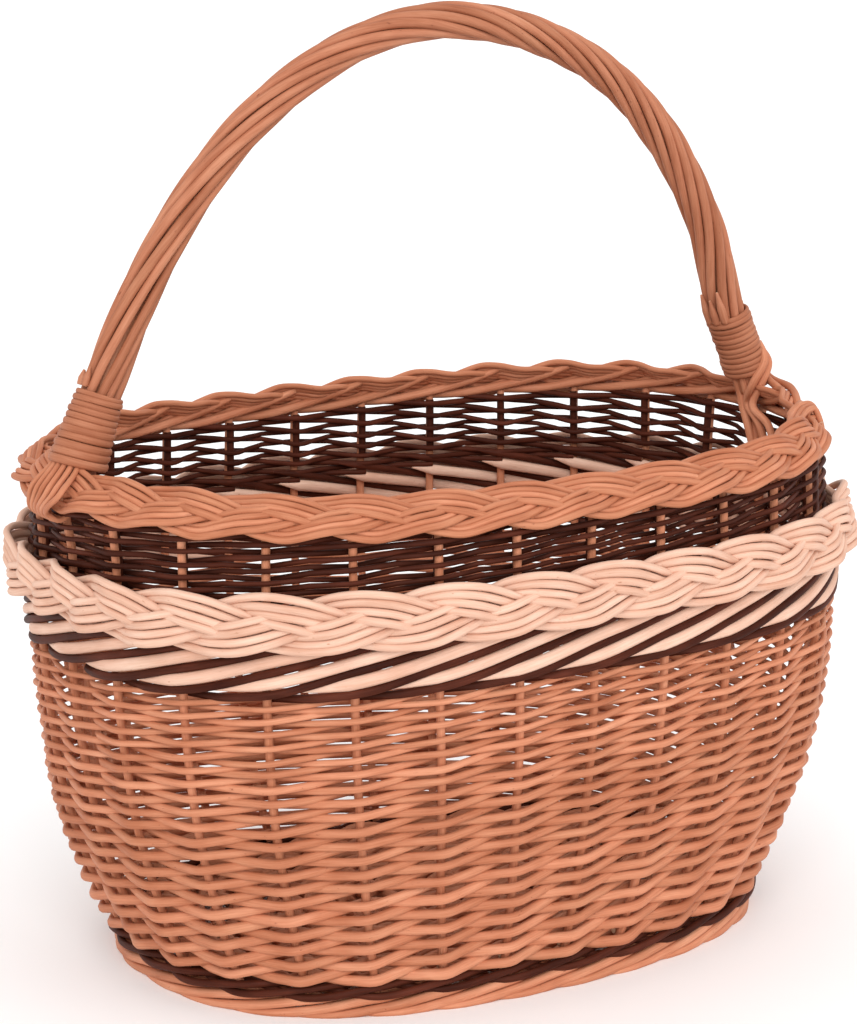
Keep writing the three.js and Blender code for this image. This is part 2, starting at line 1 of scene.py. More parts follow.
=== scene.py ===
"""Looks of the oval willow basket with a roped handle.

Every rod is a tube of its own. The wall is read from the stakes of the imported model, and the bands
take their heights from the boxes of their nodes. Lengths inside the script are millimetres.
"""

import math

import bpy
import numpy as np
from mathutils import Matrix, Vector


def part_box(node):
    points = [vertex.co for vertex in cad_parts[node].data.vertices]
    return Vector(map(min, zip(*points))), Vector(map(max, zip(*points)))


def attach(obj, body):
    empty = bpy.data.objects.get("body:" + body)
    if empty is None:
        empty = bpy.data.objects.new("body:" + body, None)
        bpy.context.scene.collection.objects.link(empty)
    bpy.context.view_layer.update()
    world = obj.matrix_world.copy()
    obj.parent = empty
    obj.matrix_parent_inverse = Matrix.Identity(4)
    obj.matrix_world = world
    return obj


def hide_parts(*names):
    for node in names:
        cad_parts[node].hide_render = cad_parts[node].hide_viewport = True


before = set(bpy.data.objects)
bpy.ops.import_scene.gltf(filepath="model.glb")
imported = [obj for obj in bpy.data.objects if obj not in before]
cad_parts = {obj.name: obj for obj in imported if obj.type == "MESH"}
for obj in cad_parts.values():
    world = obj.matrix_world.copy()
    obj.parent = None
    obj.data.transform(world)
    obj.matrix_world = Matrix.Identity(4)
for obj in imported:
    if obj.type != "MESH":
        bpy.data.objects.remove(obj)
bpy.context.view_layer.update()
rng = np.random.default_rng(28)

MM = 1000.0
STAKES = sum(name.startswith("stake_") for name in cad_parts)
STAKE_RADIUS = 2.25


def low(node):
    return np.array(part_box(node)[0]) * MM


def high(node):
    return np.array(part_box(node)[1]) * MM


def nodes_named(prefix):
    return sorted(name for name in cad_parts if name.startswith(prefix))


# The wall, read from the stakes.

BEND_TOP = 12.0
RING_GAP = 8.0


def corners(name):
    """All corners of a node."""
    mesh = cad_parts[name].data
    places = np.empty(len(mesh.vertices) * 3, np.float32)
    mesh.vertices.foreach_get("co", places)
    return np.unique(np.round(places.reshape(-1, 3) * MM, 3), axis=0)


def ring_middles(places, axis):
    """Middles of the rings of corners that follow each other along an axis."""
    places = places[np.argsort(places[:, axis])]
    breaks = np.nonzero(np.diff(places[:, axis]) > RING_GAP)[0] + 1
    return np.array([ring.mean(0) for ring in np.split(places, breaks)])


def stake_rings(name):
    """Middle of each ring of a stake above its bend, from the bottom up."""
    places = corners(name)
    return ring_middles(places[places[:, 2] > BEND_TOP], 2)


def smooth_curve(knots, values, wanted):
    """Smooth curve through values at knots, continued straight beyond both ends."""
    knots = np.asarray(knots, float)
    values = np.asarray(values, float)
    if values.ndim == 1:
        return smooth_curve(knots, values[:, None], wanted)[:, 0]
    gaps = np.diff(knots)
    steps = np.diff(values, axis=0) / gaps[:, None]
    slopes = np.empty_like(values)
    share = (gaps[:-1] / (gaps[:-1] + gaps[1:]))[:, None]
    slopes[1:-1] = steps[:-1] * (1 - share) + steps[1:] * share
    slopes[0] = steps[0] * 1.5 - slopes[1] * 0.5
    slopes[-1] = steps[-1] * 1.5 - slopes[-2] * 0.5
    wanted = np.asarray(wanted, float)
    index = np.clip(np.searchsorted(knots, wanted, side="right") - 1, 0, len(gaps) - 1)
    t = (wanted - knots[index]) / gaps[index]
    inner = np.clip(t, 0, 1)[:, None]
    gap = gaps[index][:, None]
    a, b = values[index], values[index + 1]
    da, db = slopes[index] * gap, slopes[index + 1] * gap
    curve = (
        a * (2 * inner**3 - 3 * inner**2 + 1)
        + da * (inner**3 - 2 * inner**2 + inner)
        + b * (3 * inner**2 - 2 * inner**3)
        + db * (inner**3 - inner**2)
    )
    before = np.minimum(t, 0)[:, None] * da
    after = np.maximum(t - 1, 0)[:, None] * db
    return curve + before + after


def repeating_curve(knots, values, period, wanted):
    """Smooth curve that comes back to its start after each period."""
    knots = np.asarray(knots, float)
    longer = np.concatenate([knots - period, knots, knots + period])
    return smooth_curve(longer, np.tile(values, 3), np.asarray(wanted, float) % period)


rings = np.array([stake_rings(f"stake_{i + 1:02d}") for i in range(STAKES)])
level_stake = int(np.argmin(np.abs(rings[:, -1, 0])))
ring_heights = rings[level_stake, :, 2]

SUB_STATIONS = 24
TOP_HEIGHT = 300
wall_heights = np.arange(0, TOP_HEIGHT + 1, 1.0)
columns = np.array([smooth_curve(ring_heights, ring, wall_heights) for ring in rings])
around = np.arange(-3, STAKES + 3)
wrapped = columns[around % STAKES].reshape(len(around), -1)
fine = np.arange(STAKES * SUB_STATIONS) / SUB_STATIONS
WALL = smooth_curve(around, wrapped, fine).reshape(len(fine), len(wall_heights), 3)


def unit(vectors):
    return vectors / np.maximum(np.linalg.norm(vectors, axis=-1, keepdims=True), 1e-9)


def directions(grid):
    """Direction out of the wall at each point of its grid."""
    along = unit(np.roll(grid, -1, 0) - np.roll(grid, 1, 0))
    return unit(np.cross(along, np.gradient(grid, axis=1)))


# The top of the wall leans out at both ends, where the handle pulls the rim.

LEAN = 5.0
LEAN_STATIONS = 1.5
LEAN_HEIGHT = 34.0


def from_end(station):
    """Stakes between a station and the nearer of the two end stakes."""
    half = STAKES / 2
    return (np.asarray(station, float) + half / 2) % half - half / 2


def lean(station, height):
    climb = np.clip((np.asarray(height, float) - ring_heights[-1] + LEAN_HEIGHT * 0.8) / LEAN_HEIGHT, 0, 1)
    return LEAN * np.exp(-((from_end(station) / LEAN_STATIONS) ** 2)) * climb**2 * (3 - 2 * climb)


# The side is a little fuller at the right and at the left, and the foot is drawn in at the right.
# Stations count the stakes from the right end, round by the back.

RIGHT_FULL = 3.0
LEFT_FULL = 3.5
FOOT_DRAWN = 3.0


def ease(value, start, end):
    share = np.clip((value - start) / (end - start), 0, 1)
    return share**2 * (3 - 2 * share)


def bulge(station, place, width):
    """A bump along the wall, one at that station."""
    away = (station - place + STAKES / 2) % STAKES - STAKES / 2
    return np.exp(-((away / width) ** 2))


def fullness(station, height):
    """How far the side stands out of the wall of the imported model."""
    right = RIGHT_FULL * bulge(station, -2.2, 2.2) * ease(height, 40, 90) * ease(height, 215, 190)
    left = LEFT_FULL * bulge(station, 12, 2.2) * ease(height, 15, 50) * ease(height, 130, 80)
    drawn_in = FOOT_DRAWN * bulge(station, -3.8, 2.0) * ease(height, 60, 15)
    return right + left - drawn_in


level_out = unit(directions(WALL) * [1, 1, 0])
stand_out = lean(fine[:, None], wall_heights[None, :]) + fullness(fine[:, None], wall_heights[None, :])
WALL = WALL + level_out * stand_out[..., None]
WALL_OUT = directions(WALL)


def on_grid(grid, station, height):
    across = (np.asarray(station, float) % STAKES) * SUB_STATIONS
    up = np.clip(np.asarray(height, float), 0, TOP_HEIGHT - 0.001)
    i, j = np.floor(across).astype(int), np.floor(up).astype(int)
    s, t = (across - i)[:, None], (up - j)[:, None]
    i = i % len(fine)
    k = (i + 1) % len(fine)
    lower = grid[i, j] * (1 - s) + grid[k, j] * s
    upper = grid[i, j + 1] * (1 - s) + grid[k, j + 1] * s
    return lower * (1 - t) + upper * t


def wall(station, height, offset):
    """Points off the wall, and the direction out of it there."""
    out = unit(on_grid(WALL_OUT, station, height))
    return on_grid(WALL, station, height) + out * np.asarray(offset, float)[:, None], out


# Rods.

END_LENGTH = 0.18
END_SIZE = 0.72


class Rods:
    """Collects rods as tubes and makes one mesh of them."""

    def __init__(self):
        self.places, self.grain, self.tint, self.cut = [], [], [], []
        self.loops, self.sizes, self.smooth = [], [], []
        self.count = 0

    def add(self, points, radius, face=None, flat=1.0, sides=10, closed=False):
        """A rod along points. The section is flat times as thick along face as across it."""
        points = np.asarray(points, float)
        n = len(points)
        radius = np.broadcast_to(np.asarray(radius, float), (n,)).copy()
        if closed:
            ahead = unit(np.roll(points, -1, 0) - np.roll(points, 1, 0))
        else:
            ahead = unit(np.gradient(points, axis=0))
        first = self.first_axis(ahead) if face is None else unit(np.broadcast_to(face, points.shape))
        first = unit(first - ahead * (first * ahead).sum(1)[:, None])
        second = np.cross(ahead, first)
        length = np.concatenate([[0], np.cumsum(np.linalg.norm(np.diff(points, axis=0), axis=1))])
        cut = np.zeros(n)
        if not closed:
            points, first, second, radius, length, cut = self.with_ends(
                points, ahead, first, second, radius, length, cut
            )
        n = len(points)
        angle = np.arange(sides) / sides * 2 * math.pi
        c, s = np.cos(angle), np.sin(angle)
        ring = first[:, None] * (flat * c)[None, :, None] + second[:, None] * s[None, :, None]
        places = points[:, None] + ring * radius[:, None, None]
        start = rng.uniform(0, 100)
        grain = np.empty((n, sides, 3))
        grain[..., 0] = (length / MM + start)[:, None]
        grain[..., 1] = radius[:, None] / MM * c[None, :]
        grain[..., 2] = radius[:, None] / MM * s[None, :]
        self.places.append(places.reshape(-1, 3))
        self.grain.append(grain.reshape(-1, 3))
        self.tint.append(np.full(n * sides, rng.uniform(0, 1)))
        self.cut.append(np.repeat(cut, sides))
        rows = np.arange(n if closed else n - 1)
        a = rows[:, None] * sides + np.arange(sides)[None, :]
        b = rows[:, None] * sides + (np.arange(sides)[None, :] + 1) % sides
        up = ((rows + 1) % n)[:, None] * sides - rows[:, None] * sides
        quads = np.stack([a, b, b + up, a + up], -1).reshape(-1, 4) + self.count
        self.loops.append(quads.ravel())
        self.sizes.append(np.full(len(quads), 4))
        self.smooth.append(np.ones(len(quads), bool))
        if not closed:
            caps = [np.arange(sides)[::-1], np.arange(sides) + (n - 1) * sides]
            for cap in caps:
                self.loops.append(cap + self.count)
            self.sizes.append(np.full(2, sides))
            self.smooth.append(np.zeros(2, bool))
        self.count += n * sides

    @staticmethod
    def first_axis(ahead):
        """An axis across the rod that turns as little as it can."""
        axis = np.empty_like(ahead)
        start = np.array([0.0, 0.0, 1.0])
        if abs(ahead[0, 2]) > 0.9:
            start = np.array([1.0, 0.0, 0.0])
        for i, way in enumerate(ahead):
            start = start - way * (start @ way)
            start = start / np.linalg.norm(start)
            axis[i] = start
        return axis

    @staticmethod
    def with_ends(points, ahead, first, second, radius, length, cut):
        """Adds a worn edge at both ends of a rod."""
        before = points[0] - ahead[0] * radius[0] * END_LENGTH
        after = points[-1] + ahead[-1] * radius[-1] * END_LENGTH
        points = np.vstack([before, points, after])
        first = np.vstack([first[0], first, first[-1]])
        second = np.vstack([second[0], second, second[-1]])
        radius = np.concatenate([[radius[0] * END_SIZE], radius, [radius[-1] * END_SIZE]])
        length = np.concatenate([[length[0]], length, [length[-1]]])
        cut = np.concatenate([[1.0], cut, [1.0]])
        return points, first, second, radius, length, cut

    def piece(self, name, material, slot, nodes):
        """The finished piece, riding on the one body of the basket."""
        mesh = bpy.data.meshes.new(name)
        places = np.concatenate(self.places) / MM
        places[:, 2] = np.maximum(places[:, 2], 0)
        loops = np.concatenate(self.loops)
        sizes = np.concatenate(self.sizes)
        mesh.vertices.add(len(places))
        mesh.vertices.foreach_set("co", places.astype(np.float32).ravel())
        mesh.loops.add(len(loops))
        mesh.loops.foreach_set("vertex_index", loops.astype(np.int32))
        mesh.polygons.add(len(sizes))
        starts = np.concatenate([[0], np.cumsum(sizes)[:-1]])
        mesh.polygons.foreach_set("loop_start", starts.astype(np.int32))
        mesh.polygons.foreach_set("use_smooth", np.concatenate(self.smooth))
        grain = mesh.attributes.new("grain", "FLOAT_VECTOR", "POINT")
        grain.data.foreach_set("vector", np.concatenate(self.grain).astype(np.float32).ravel())
        for label, values in (("tint", self.tint), ("cut", self.cut)):
            attribute = mesh.attributes.new(label, "FLOAT", "POINT")
            attribute.data.foreach_set("value", np.concatenate(values).astype(np.float32))
        mesh.update(calc_edges=True)
        mesh.validate()
        mesh.materials.append(material)
        piece = bpy.data.objects.new(name, mesh)
        bpy.context.scene.collection.objects.link(piece)
        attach(piece, "root")
        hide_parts(*nodes)


def wander(count, size, wave):
    """A smooth random line of that many points."""
    knots = max(4, int(count / wave) + 2)
    values = rng.normal(0, size, knots)
    return smooth_curve(np.linspace(0, 1, knots), values, np.linspace(0, 1, count))


def closed_wander(count, size):
    """A smooth random ring."""
    turn = np.arange(count) / count * 2 * math.pi
    line = np.zeros(count)
    for wave in (17, 29, 43, 61, 83):
        line += rng.normal(0, 0.45) * np.cos(wave * turn + rng.uniform(0, 6.28))
    return line * size


def through(stops, count):
    """A smooth line of that many points through a few stops."""
    stops = np.asarray(stops, float)
    gaps = np.concatenate([[0], np.cumsum(np.linalg.norm(np.diff(stops, axis=0), axis=1))])
    return smooth_curve(gaps, stops, np.linspace(0, gaps[-1], count))


# Materials.


def linear(red, green, blue):
    """A screen colour, 0 to 255, as the shader takes it."""
    share = [value / 255 for value in (red, green, blue)]
    return (*[((v + 0.055) / 1.055) ** 2.4 if v > 0.04045 else v / 12.92 for v in share], 1.0)


class Nodes:
    """Short names for building a node tree."""

    def __init__(self, tree):
        self.tree = tree

    def add(self, kind, **values):
        node = self.tree.nodes.new(kind)
        for key, value in values.items():
            if hasattr(node, key):
                setattr(node, key, value)
            else:
                node.inputs[key.replace("_", " ")].default_value = value
        return node

    def link(self, source, target):
        self.tree.links.new(source, target)


def ramp(nodes, source, stops):
    node = nodes.add("ShaderNodeValToRGB")
    elements = node.color_ramp.elements
    while len(elements) < len(stops):
        elements.new(0.5)
    for element, (place, colour) in zip(elements, stops):
        element.position = place
        element.color = colour
    nodes.link(source, node.inputs["Fac"])
    return node.outputs["Color"]


def mix(nodes, kind, amount, first, second):
    node = nodes.add("ShaderNodeMix", data_type="RGBA", blend_type=kind)
    if isinstance(amount, float):
        node.inputs[0].default_value = amount
    else:
        nodes.link(amount, node.inputs[0])
    for socket, value in ((node.inputs[6], first), (node.inputs[7], second)):
        if isinstance(value, tuple):
            socket.default_value = value
        else:
            nodes.link(value, socket)
    return node.outputs[2]


def willow(name, shades, tints, streak, spot, pith, gloss, shine):
    """Willow rods: slow changes of shade along the rod, long grain, bud scars and cut ends."""
    material = bpy.data.materials.new(name)
    material.use_nodes = True
    nodes = Nodes(material.node_tree)
    shader = material.node_tree.nodes["Principled BSDF"]
    grain = nodes.add("ShaderNodeAttribute", attribute_name="grain").outputs["Vector"]
    tint = nodes.add("ShaderNodeAttribute", attribute_name="tint").outputs["Fac"]
    cut = nodes.add("ShaderNodeAttribute", attribute_name="cut").outputs["Fac"]

    def along(stretch, across):
        node = nodes.add("ShaderNodeMapping")
        node.inputs["Scale"].default_value = (stretch, across, across)
        nodes.link(grain, node.inputs["Vector"])
        return node.outputs["Vector"]

    def noise(vector, scale, detail):
        node = nodes.add("ShaderNodeTexNoise", Scale=scale, Detail=detail, Roughness=0.55)
        nodes.link(vector, node.inputs["Vector"])
        return node.outputs["Fac"]

    slow = noise(along(22, 60), 1.0, 3.0)
    fibre = noise(along(70, 1500), 1.0, 4.0)
    speck = noise(along(260, 700), 1.0, 2.0)
    colour = ramp(nodes, slow, [(0.3, shades[0]), (0.5, shades[1]), (0.72, shades[2])])
    colour = mix(nodes, "MULTIPLY", 1.0, colour, ramp(nodes, tint, [(0.0, tints[0]), (1.0, tints[1])]))
    lines = ramp(nodes, fibre, [(0.32, streak), (0.6, (1, 1, 1, 1))])
    colour = mix(nodes, "MULTIPLY", 0.8, colour, lines)
    marks = ramp(nodes, speck, [(0.70, (0, 0, 0, 1)), (0.80, (1, 1, 1, 1))])
    colour = mix(nodes, "MIX", marks, colour, mix(nodes, "MULTIPLY", 0.75, colour, spot))
    ends = ramp(nodes, cut, [(0.6, (0, 0, 0, 1)), (0.95, (1, 1, 1, 1))])
    colour = mix(nodes, "MIX", ends, colour, pith)
    nodes.link(colour, shader.inputs["Base Color"])
    rough = nodes.add("ShaderNodeMapRange")
    rough.inputs["To Min"].default_value = gloss - 0.1
    rough.inputs["To Max"].default_value = gloss + 0.16
    nodes.link(fibre, rough.inputs["Value"])
    nodes.link(rough.outputs["Result"], shader.inputs["Roughness"])
    shader.inputs["Specular IOR Level"].default_value = shine
    bump = nodes.add("ShaderNodeBump")
    bump.inputs["Strength"].default_value = 0.25
    bump.inputs["Distance"].default_value = 0.0004
    nodes.link(fibre, bump.inputs["Height"])
    nodes.link(bump.outputs["Normal"], shader.inputs["Normal"])
    return material


WARM_TINTS = [(0.85, 0.79, 0.73, 1), (1.05, 1.04, 1.03, 1)]
WARM_STREAK = (0.80, 0.70, 0.61, 1)

buff = willow(
    "buff_willow_rods",
    shades=[linear(186, 116, 84), linear(204, 136, 104), linear(216, 153, 121)],
    tints=WARM_TINTS,
    streak=WARM_STREAK,
    spot=linear(150, 90, 66),
    pith=linear(228, 190, 156),
    gloss=0.55,
    shine=0.22,
)
# A darker copy of the buff willow for the handle's roping and bindings: painted shade, standing in for the
# darker look of the handle under the light.
shaded_buff = willow(
    "shaded_buff_willow_rods",
    shades=[linear(166, 103, 75), linear(184, 121, 92), linear(198, 139, 110)],
    tints=WARM_TINTS,
    streak=WARM_STREAK,
    spot=linear(136, 82, 60),
    pith=linear(214, 172, 138),
    gloss=0.55,
    shine=0.2,
)
pale = willow(
    "pale_willow_rods",
    shades=[linear(215, 169, 145), linear(228, 187, 165), linear(236, 201, 180)],
    tints=[(0.92, 0.89, 0.87, 1), (1.02, 1.02, 1.02, 1)],
    streak=(0.86, 0.78, 0.72, 1),
    spot=linear(196, 150, 122),
    pith=linear(246, 226, 206),
    gloss=0.52,
    shine=0.25,
)
dark = willow(
    "dark_willow_rods",
    shades=[linear(56, 23, 14), linear(76, 36, 24), linear(100, 51, 37)],
    tints=[(0.75, 0.74, 0.74, 1), (1.15, 1.1, 1.08, 1)],
    streak=(0.66, 0.62, 0.60, 1),
    spot=linear(120, 84, 70),
    pith=linear(140, 100, 78),
    gloss=0.5,
    shine=0.08,
)


# Stakes.

STAKE_TIP = 9.0
ROOT_LENGTH = 20.0
ROOT_HEIGHT = 4.0
ROOT_BEND = 2.5
stakes = Rods()
stake_top = ring_heights[-1] + STAKE_TIP
for stake in range(STAKES):
    heights = np.concatenate([[ROOT_HEIGHT, 5.6, 8.5], np.arange(12.0, stake_top, 7.0)])
    points, out = wall(np.full(len(heights), float(stake)), heights, np.zeros(len(heights)))
    level = unit(out[0] * [1, 1, 0])
    bend = points[0] - level * ROOT_BEND
    root = [bend - level * ROOT_LENGTH * share for share in (1, 0.6, 0.25)]
    points = np.vstack([root, points])
    points[3:, :2] += np.column_stack([wander(len(points) - 3, 0.25, 6) for _ in range(2)])
    points[:3, 2] = ROOT_HEIGHT
    stakes.add(points, np.linspace(STAKE_RADIUS * 1.03, STAKE_RADIUS * 0.94, len(points)))
stakes.piece("stakes", buff, "buff_willow", nodes_named("stake_"))


# Randing: one rod starts at every stake and climbs a row at each stake it passes.

WEAVE_STEPS = 14
BOW_ROOM = 8.5
bow_low = low("handle_bow")[2]


def weave_wave(turns):
    """In front at even turns and behind at odd ones, nearly straight between the stakes."""
    wave = sum(np.cos(k * math.pi * turns) / k**2 for k in (1, 3, 5))
    return wave / sum(1 / k**2 for k in (1, 3, 5))


def near_bow(station):
    """How close a station is to the two end stakes, which carry the bow inside them."""
    return np.exp(-((from_end(station) / 0.45) ** 2))


def rand_band(rods, row_heights, row_radius, bow_from, jitter, dips, inside_room, loose):
    """Rods start and end inside. Strokes on the inside lie lower by the dip of their row.

    Loose is how much thinner the rods get at the back, where they let light through.
    """
    rows = len(row_heights)
    turns = np.arange(-1, rows - 1 + 0.01, 1 / WEAVE_STEPS)
    count = len(turns)
    wave = weave_wave(turns)
    inside = np.maximum(-wave, 0)
    dip = smooth_curve(np.arange(rows), dips, turns)
    for start in range(STAKES):
        station = start + turns
        height = smooth_curve(np.arange(rows), row_heights, np.maximum(turns, -0.4))
        scale = rng.normal(1, 0.05)
        radius = smooth_curve(np.arange(rows), row_radius, turns) * scale
        radius *= 1 + wander(count, 0.025, 9)
        radius *= 1 - loose * bulge(station, STAKES / 4, 5.0)
        offset = wave * (STAKE_RADIUS + radius * 0.95)
        behind = inside * near_bow(station) * (height > bow_from)
        offset = offset - behind * BOW_ROOM - inside * inside_room + wander(count, 0.2, 10)
        height = height - dip * inside + wander(count, jitter, 12)
        points, out = wall(station, height, offset)
        rods.add(points, radius, out, flat=0.92, sides=10)


side_low, side_high = low("side_weaver_01")[2], high("side_weaver_01")[2]
ROWS = 40
FIRST_RADIUS, LAST_RADIUS = 2.9, 1.4
SIDE_JITTER = 0.5
BACK_LOOSE = 0.26
row = np.arange(ROWS) / (ROWS - 1)
side_radius = FIRST_RADIUS + (LAST_RADIUS - FIRST_RADIUS) * row
pitch = np.linspace(1.2, 0.84, ROWS - 1)
climb = np.concatenate([[0], np.cumsum(pitch)])
side_span = side_high - side_low - FIRST_RADIUS - LAST_RADIUS + 1
side_rows = side_low + FIRST_RADIUS - 0.6 + climb / climb[-1] * side_span

side = Rods()
rand_band(side, side_rows, side_radius, bow_low - 10, SIDE_JITTER, np.zeros(ROWS), 0.0, BACK_LOOSE)
side.piece("side_weave", buff, "buff_willow", nodes_named("side_weaver"))

# The collar is close at its top and bottom. Between them the strokes of two rows meet at each stake,
# which leaves pointed openings. A dark upright stands inside every stake.

COLLAR_ROWS = 13
COLLAR_PITCH = 3.0
COLLAR_JITTER = 0.2
CLOSE_RADIUS, HALF_RADIUS, OPEN_RADIUS = 1.5, 1.4, 1.3
CLOSE_DIP, HALF_DIP, OPEN_DIP = 0.4, 1.6, 2.75
UPRIGHT_RADIUS = 2.05
UPRIGHT_INSET = 1.5
UPRIGHT_STEPS = 9
COLLAR_RISE = 4.5
collar_top = ring_heights[-1] + COLLAR_RISE
collar_rows = collar_top - COLLAR_PITCH * np.arange(COLLAR_ROWS)[::-1]


def close_open_close(close, half, open_):
    """Values of the collar's rows from the bottom up."""
    return np.array([close] * 3 + [half] + [open_] * 5 + [half] + [close] * 3)


collar = Rods()
collar_radius = close_open_close(CLOSE_RADIUS, HALF_RADIUS, OPEN_RADIUS)
collar_dips = close_open_close(CLOSE_DIP, HALF_DIP, OPEN_DIP)
rand_band(collar, collar_rows, collar_radius, TOP_HEIGHT, COLLAR_JITTER, collar_dips, UPRIGHT_INSET, 0.0)
upright_heights = np.linspace(collar_rows[2], collar_top - 2, UPRIGHT_STEPS)
upright_offset = np.full(UPRIGHT_STEPS, -UPRIGHT_INSET)
for stake in range(STAKES):
    if stake % (STAKES // 2):
        points, out = wall(np.full(UPRIGHT_STEPS, float(stake)), upright_heights, upright_offset)
        collar.add(points, UPRIGHT_RADIUS, out, sides=10)
collar.piece("collar_weave", dark, "dark_willow", nodes_named("collar_weaver"))


# Wales: rods in front of all stakes but one, then behind one, each a stake after the last.


def wale(rods, levels, sides, radius, out_extra, spans):
    """Levels and sides at each stake of a stroke. Spans of stakes start and end behind one."""
    period = len(levels)
    for first, last, shift in spans:
        turns = np.arange(first - 0.3, last + 0.3, 1 / WEAVE_STEPS)
        height = repeating_curve(np.arange(period), levels, period, turns)
        offset = repeating_curve(np.arange(period), sides, period, turns) * (STAKE_RADIUS + radius)
        offset = offset + out_extra + wander(len(turns), 0.15, 9)
        points, out = wall(turns - shift, height, offset)
        rods.add(points, radius * (1 + wander(len(turns), 0.02, 12)), out, sides=10)


FOOT_RADIUS = 2.5
FOOT_SIDES = [1.05, 0.95, 0.55, -1.0]
foot_top = high("foot_border")[2]
foot_levels = [FOOT_RADIUS + 0.1, FOOT_RADIUS + 2.6, foot_top - FOOT_RADIUS - 0.6, foot_top / 2]
foot_spans = [(a, b, turn) for turn in range(4) for a, b in ((-1, 11), (11, 27))]
foot = Rods()
wale(foot, foot_levels, FOOT_SIDES, FOOT_RADIUS, out_extra=0.8, spans=foot_spans)
foot.piece("foot_wale_buff", buff, "buff_willow", ["foot_border"])

WALE_RADIUS = 1.95
WALE_SIDES = [1.0, 0.9, -1.0]
wale_low = low("foot_wale")[2] + WALE_RADIUS - 0.3
wale_high = high("foot_wale")[2] - WALE_RADIUS - 0.6
dark_levels = [wale_low, wale_high, (wale_low + wale_high) / 2]
dark_spans = [(12 * k - 1, 12 * k + 11, 0) for k in range(7)]
dark_wale = Rods()
wale(dark_wale, dark_levels, WALE_SIDES, WALE_RADIUS, out_extra=0.4, spans=dark_spans)
dark_wale.piece("foot_wale_dark", dark, "dark_willow", ["foot_wale"])


# Slewing: slanting rods, one dark and one pale from every stake.

SLEW_STEP = 10.2
SLEW_TIP = 0.3
DARK_RADIUS, PALE_RADIUS = 2.15, 3.05
slew_low = low("slew_dark")[2]


def slew(rods, radius, flat, turns, levels, sides, lift, taper):
    """Rods that climb past several stakes and end inside. Taper is the length and size of the start.

    Turns are stakes passed. Levels are in slew steps, and sides go from 1 outside to -1 inside.
    """
    reach = np.arange(turns[0], turns[-1], 1 / WEAVE_STEPS)
    count = len(reach)
    for start in range(STAKES):
        station = start + reach
        size = radius * rng.normal(1, 0.04)
        height = slew_low + lift + SLEW_STEP * smooth_curve(turns, levels, reach)
        ends = [turns[0], turns[0] + taper[0], turns[-1] - SLEW_TIP, turns[-1]]
        radii = size * np.interp(reach, ends, [taper[1], 1, 1, 0.1])
        side_way = smooth_curve(turns, sides, reach)
        offset = side_way * (STAKE_RADIUS + radii * flat)
        offset = offset - np.maximum(-side_way, 0) * near_bow(station) * BOW_ROOM
        offset = offset + wander(count, 0.15, 10)
        height = height + wander(count, 0.22, 14)
        points, out = wall(station, height, offset)
        rods.add(points, radii, out, flat=flat, sides=12)


DARK_TURNS = [-1.0, -0.8, -0.5, -0.2, 0, 1, 2, 3, 3.5, 4, 4.4]
DARK_SIDES = [-1, -0.5, 0.3, 0.88, 1, 1, 1, 1, 0, -1, -1]
DARK_LEVELS = [-0.26, -0.22, -0.14, 0.0, 0.08, 1.02, 2.02, 3.0, 3.55, 4.08, 4.36]
PALE_TURNS = [0.2, 0.5, 1, 2, 3, 3.5, 4, 4.3]
PALE_SIDES = [0.0, 0.6, 1, 1, 1, 0, -1, -1]
PALE_LEVELS = [0.16, 0.3, 0.6, 1.58, 2.55, 3.04, 3.52, 3.74]
slew_dark = Rods()
slew(
    slew_dark,
    DARK_RADIUS,
    flat=0.95,
    turns=DARK_TURNS,
    levels=DARK_LEVELS,
    sides=DARK_SIDES,
    lift=1.9,
    taper=(0.6, 0.8),
)
slew_dark.piece("slew_dark_rods", dark, "dark_willow", ["slew_dark"])
slew_pale = Rods()
slew(
    slew_pale,
    PALE_RADIUS,
    flat=0.75,
    turns=PALE_TURNS,
    levels=PALE_LEVELS,
    sides=PALE_SIDES,
    lift=1.4,
    taper=(0.7, 0.1),
)
slew_pale.piece("slew_pale_rods", pale, "pale_willow", ["slew_pale"])


# Plaits: three flat bundles of rods, each over its neighbours in turn. A bundle drops steeply from
# the top edge, comes round the bottom edge from behind and climbs slowly back.

PLAIT_PERIOD = 3
PLAIT_STEPS = 16
PALE_SWING_TURNS = [0, 0.3, 0.55, 0.8, 1.05, 1.3, 1.6, 1.9, 2.2, 2.5, 2.75]
PALE_SWING = [1.0, 0.8, 0.35, -0.2, -0.7, -1.0, -0.88, -0.55, -0.1, 0.4, 0.8]
RIM_SWING_TURNS = [0, 0.2, 0.45, 0.62, 0.8, 1.0, 1.25, 1.6, 2.0, 2.3, 2.5, 2.75]
RIM_SWING = [1.1, 0.75, 0.4, 0.05, -0.4, -0.8, -1.0, -0.85, -0.3, 0.45, 1.0, 1.3]
DEPTH_TURNS = [0, 0.2, 0.5, 0.75, 1.0, 1.25, 1.5, 1.7, 2.0, 2.25, 2.5, 2.75]
DEPTH = [0.3, 1.0, 0.55, 0.0, -0.55, -0.9, 0.3, 1.0, 0.55, 0.0, -0.55, -0.9]


def plait_frame(station, height, offset, tilt):
    """Middle of a plait, the direction across it to its upper edge, and the way it faces."""
    levels = np.full(len(station), height, float)
    offsets = np.full(len(station), offset)
    middle, out = wall(station, levels, offsets)
    upper, _ = wall(station, levels + 1, offsets)
    rise = unit(upper - middle)
    along = np.cross(rise, out)
    rise = np.cross(out, along)
    across = rise * math.cos(tilt) - out * math.sin(tilt)
    return middle, across, out * math.cos(tilt) + rise * math.sin(tilt)


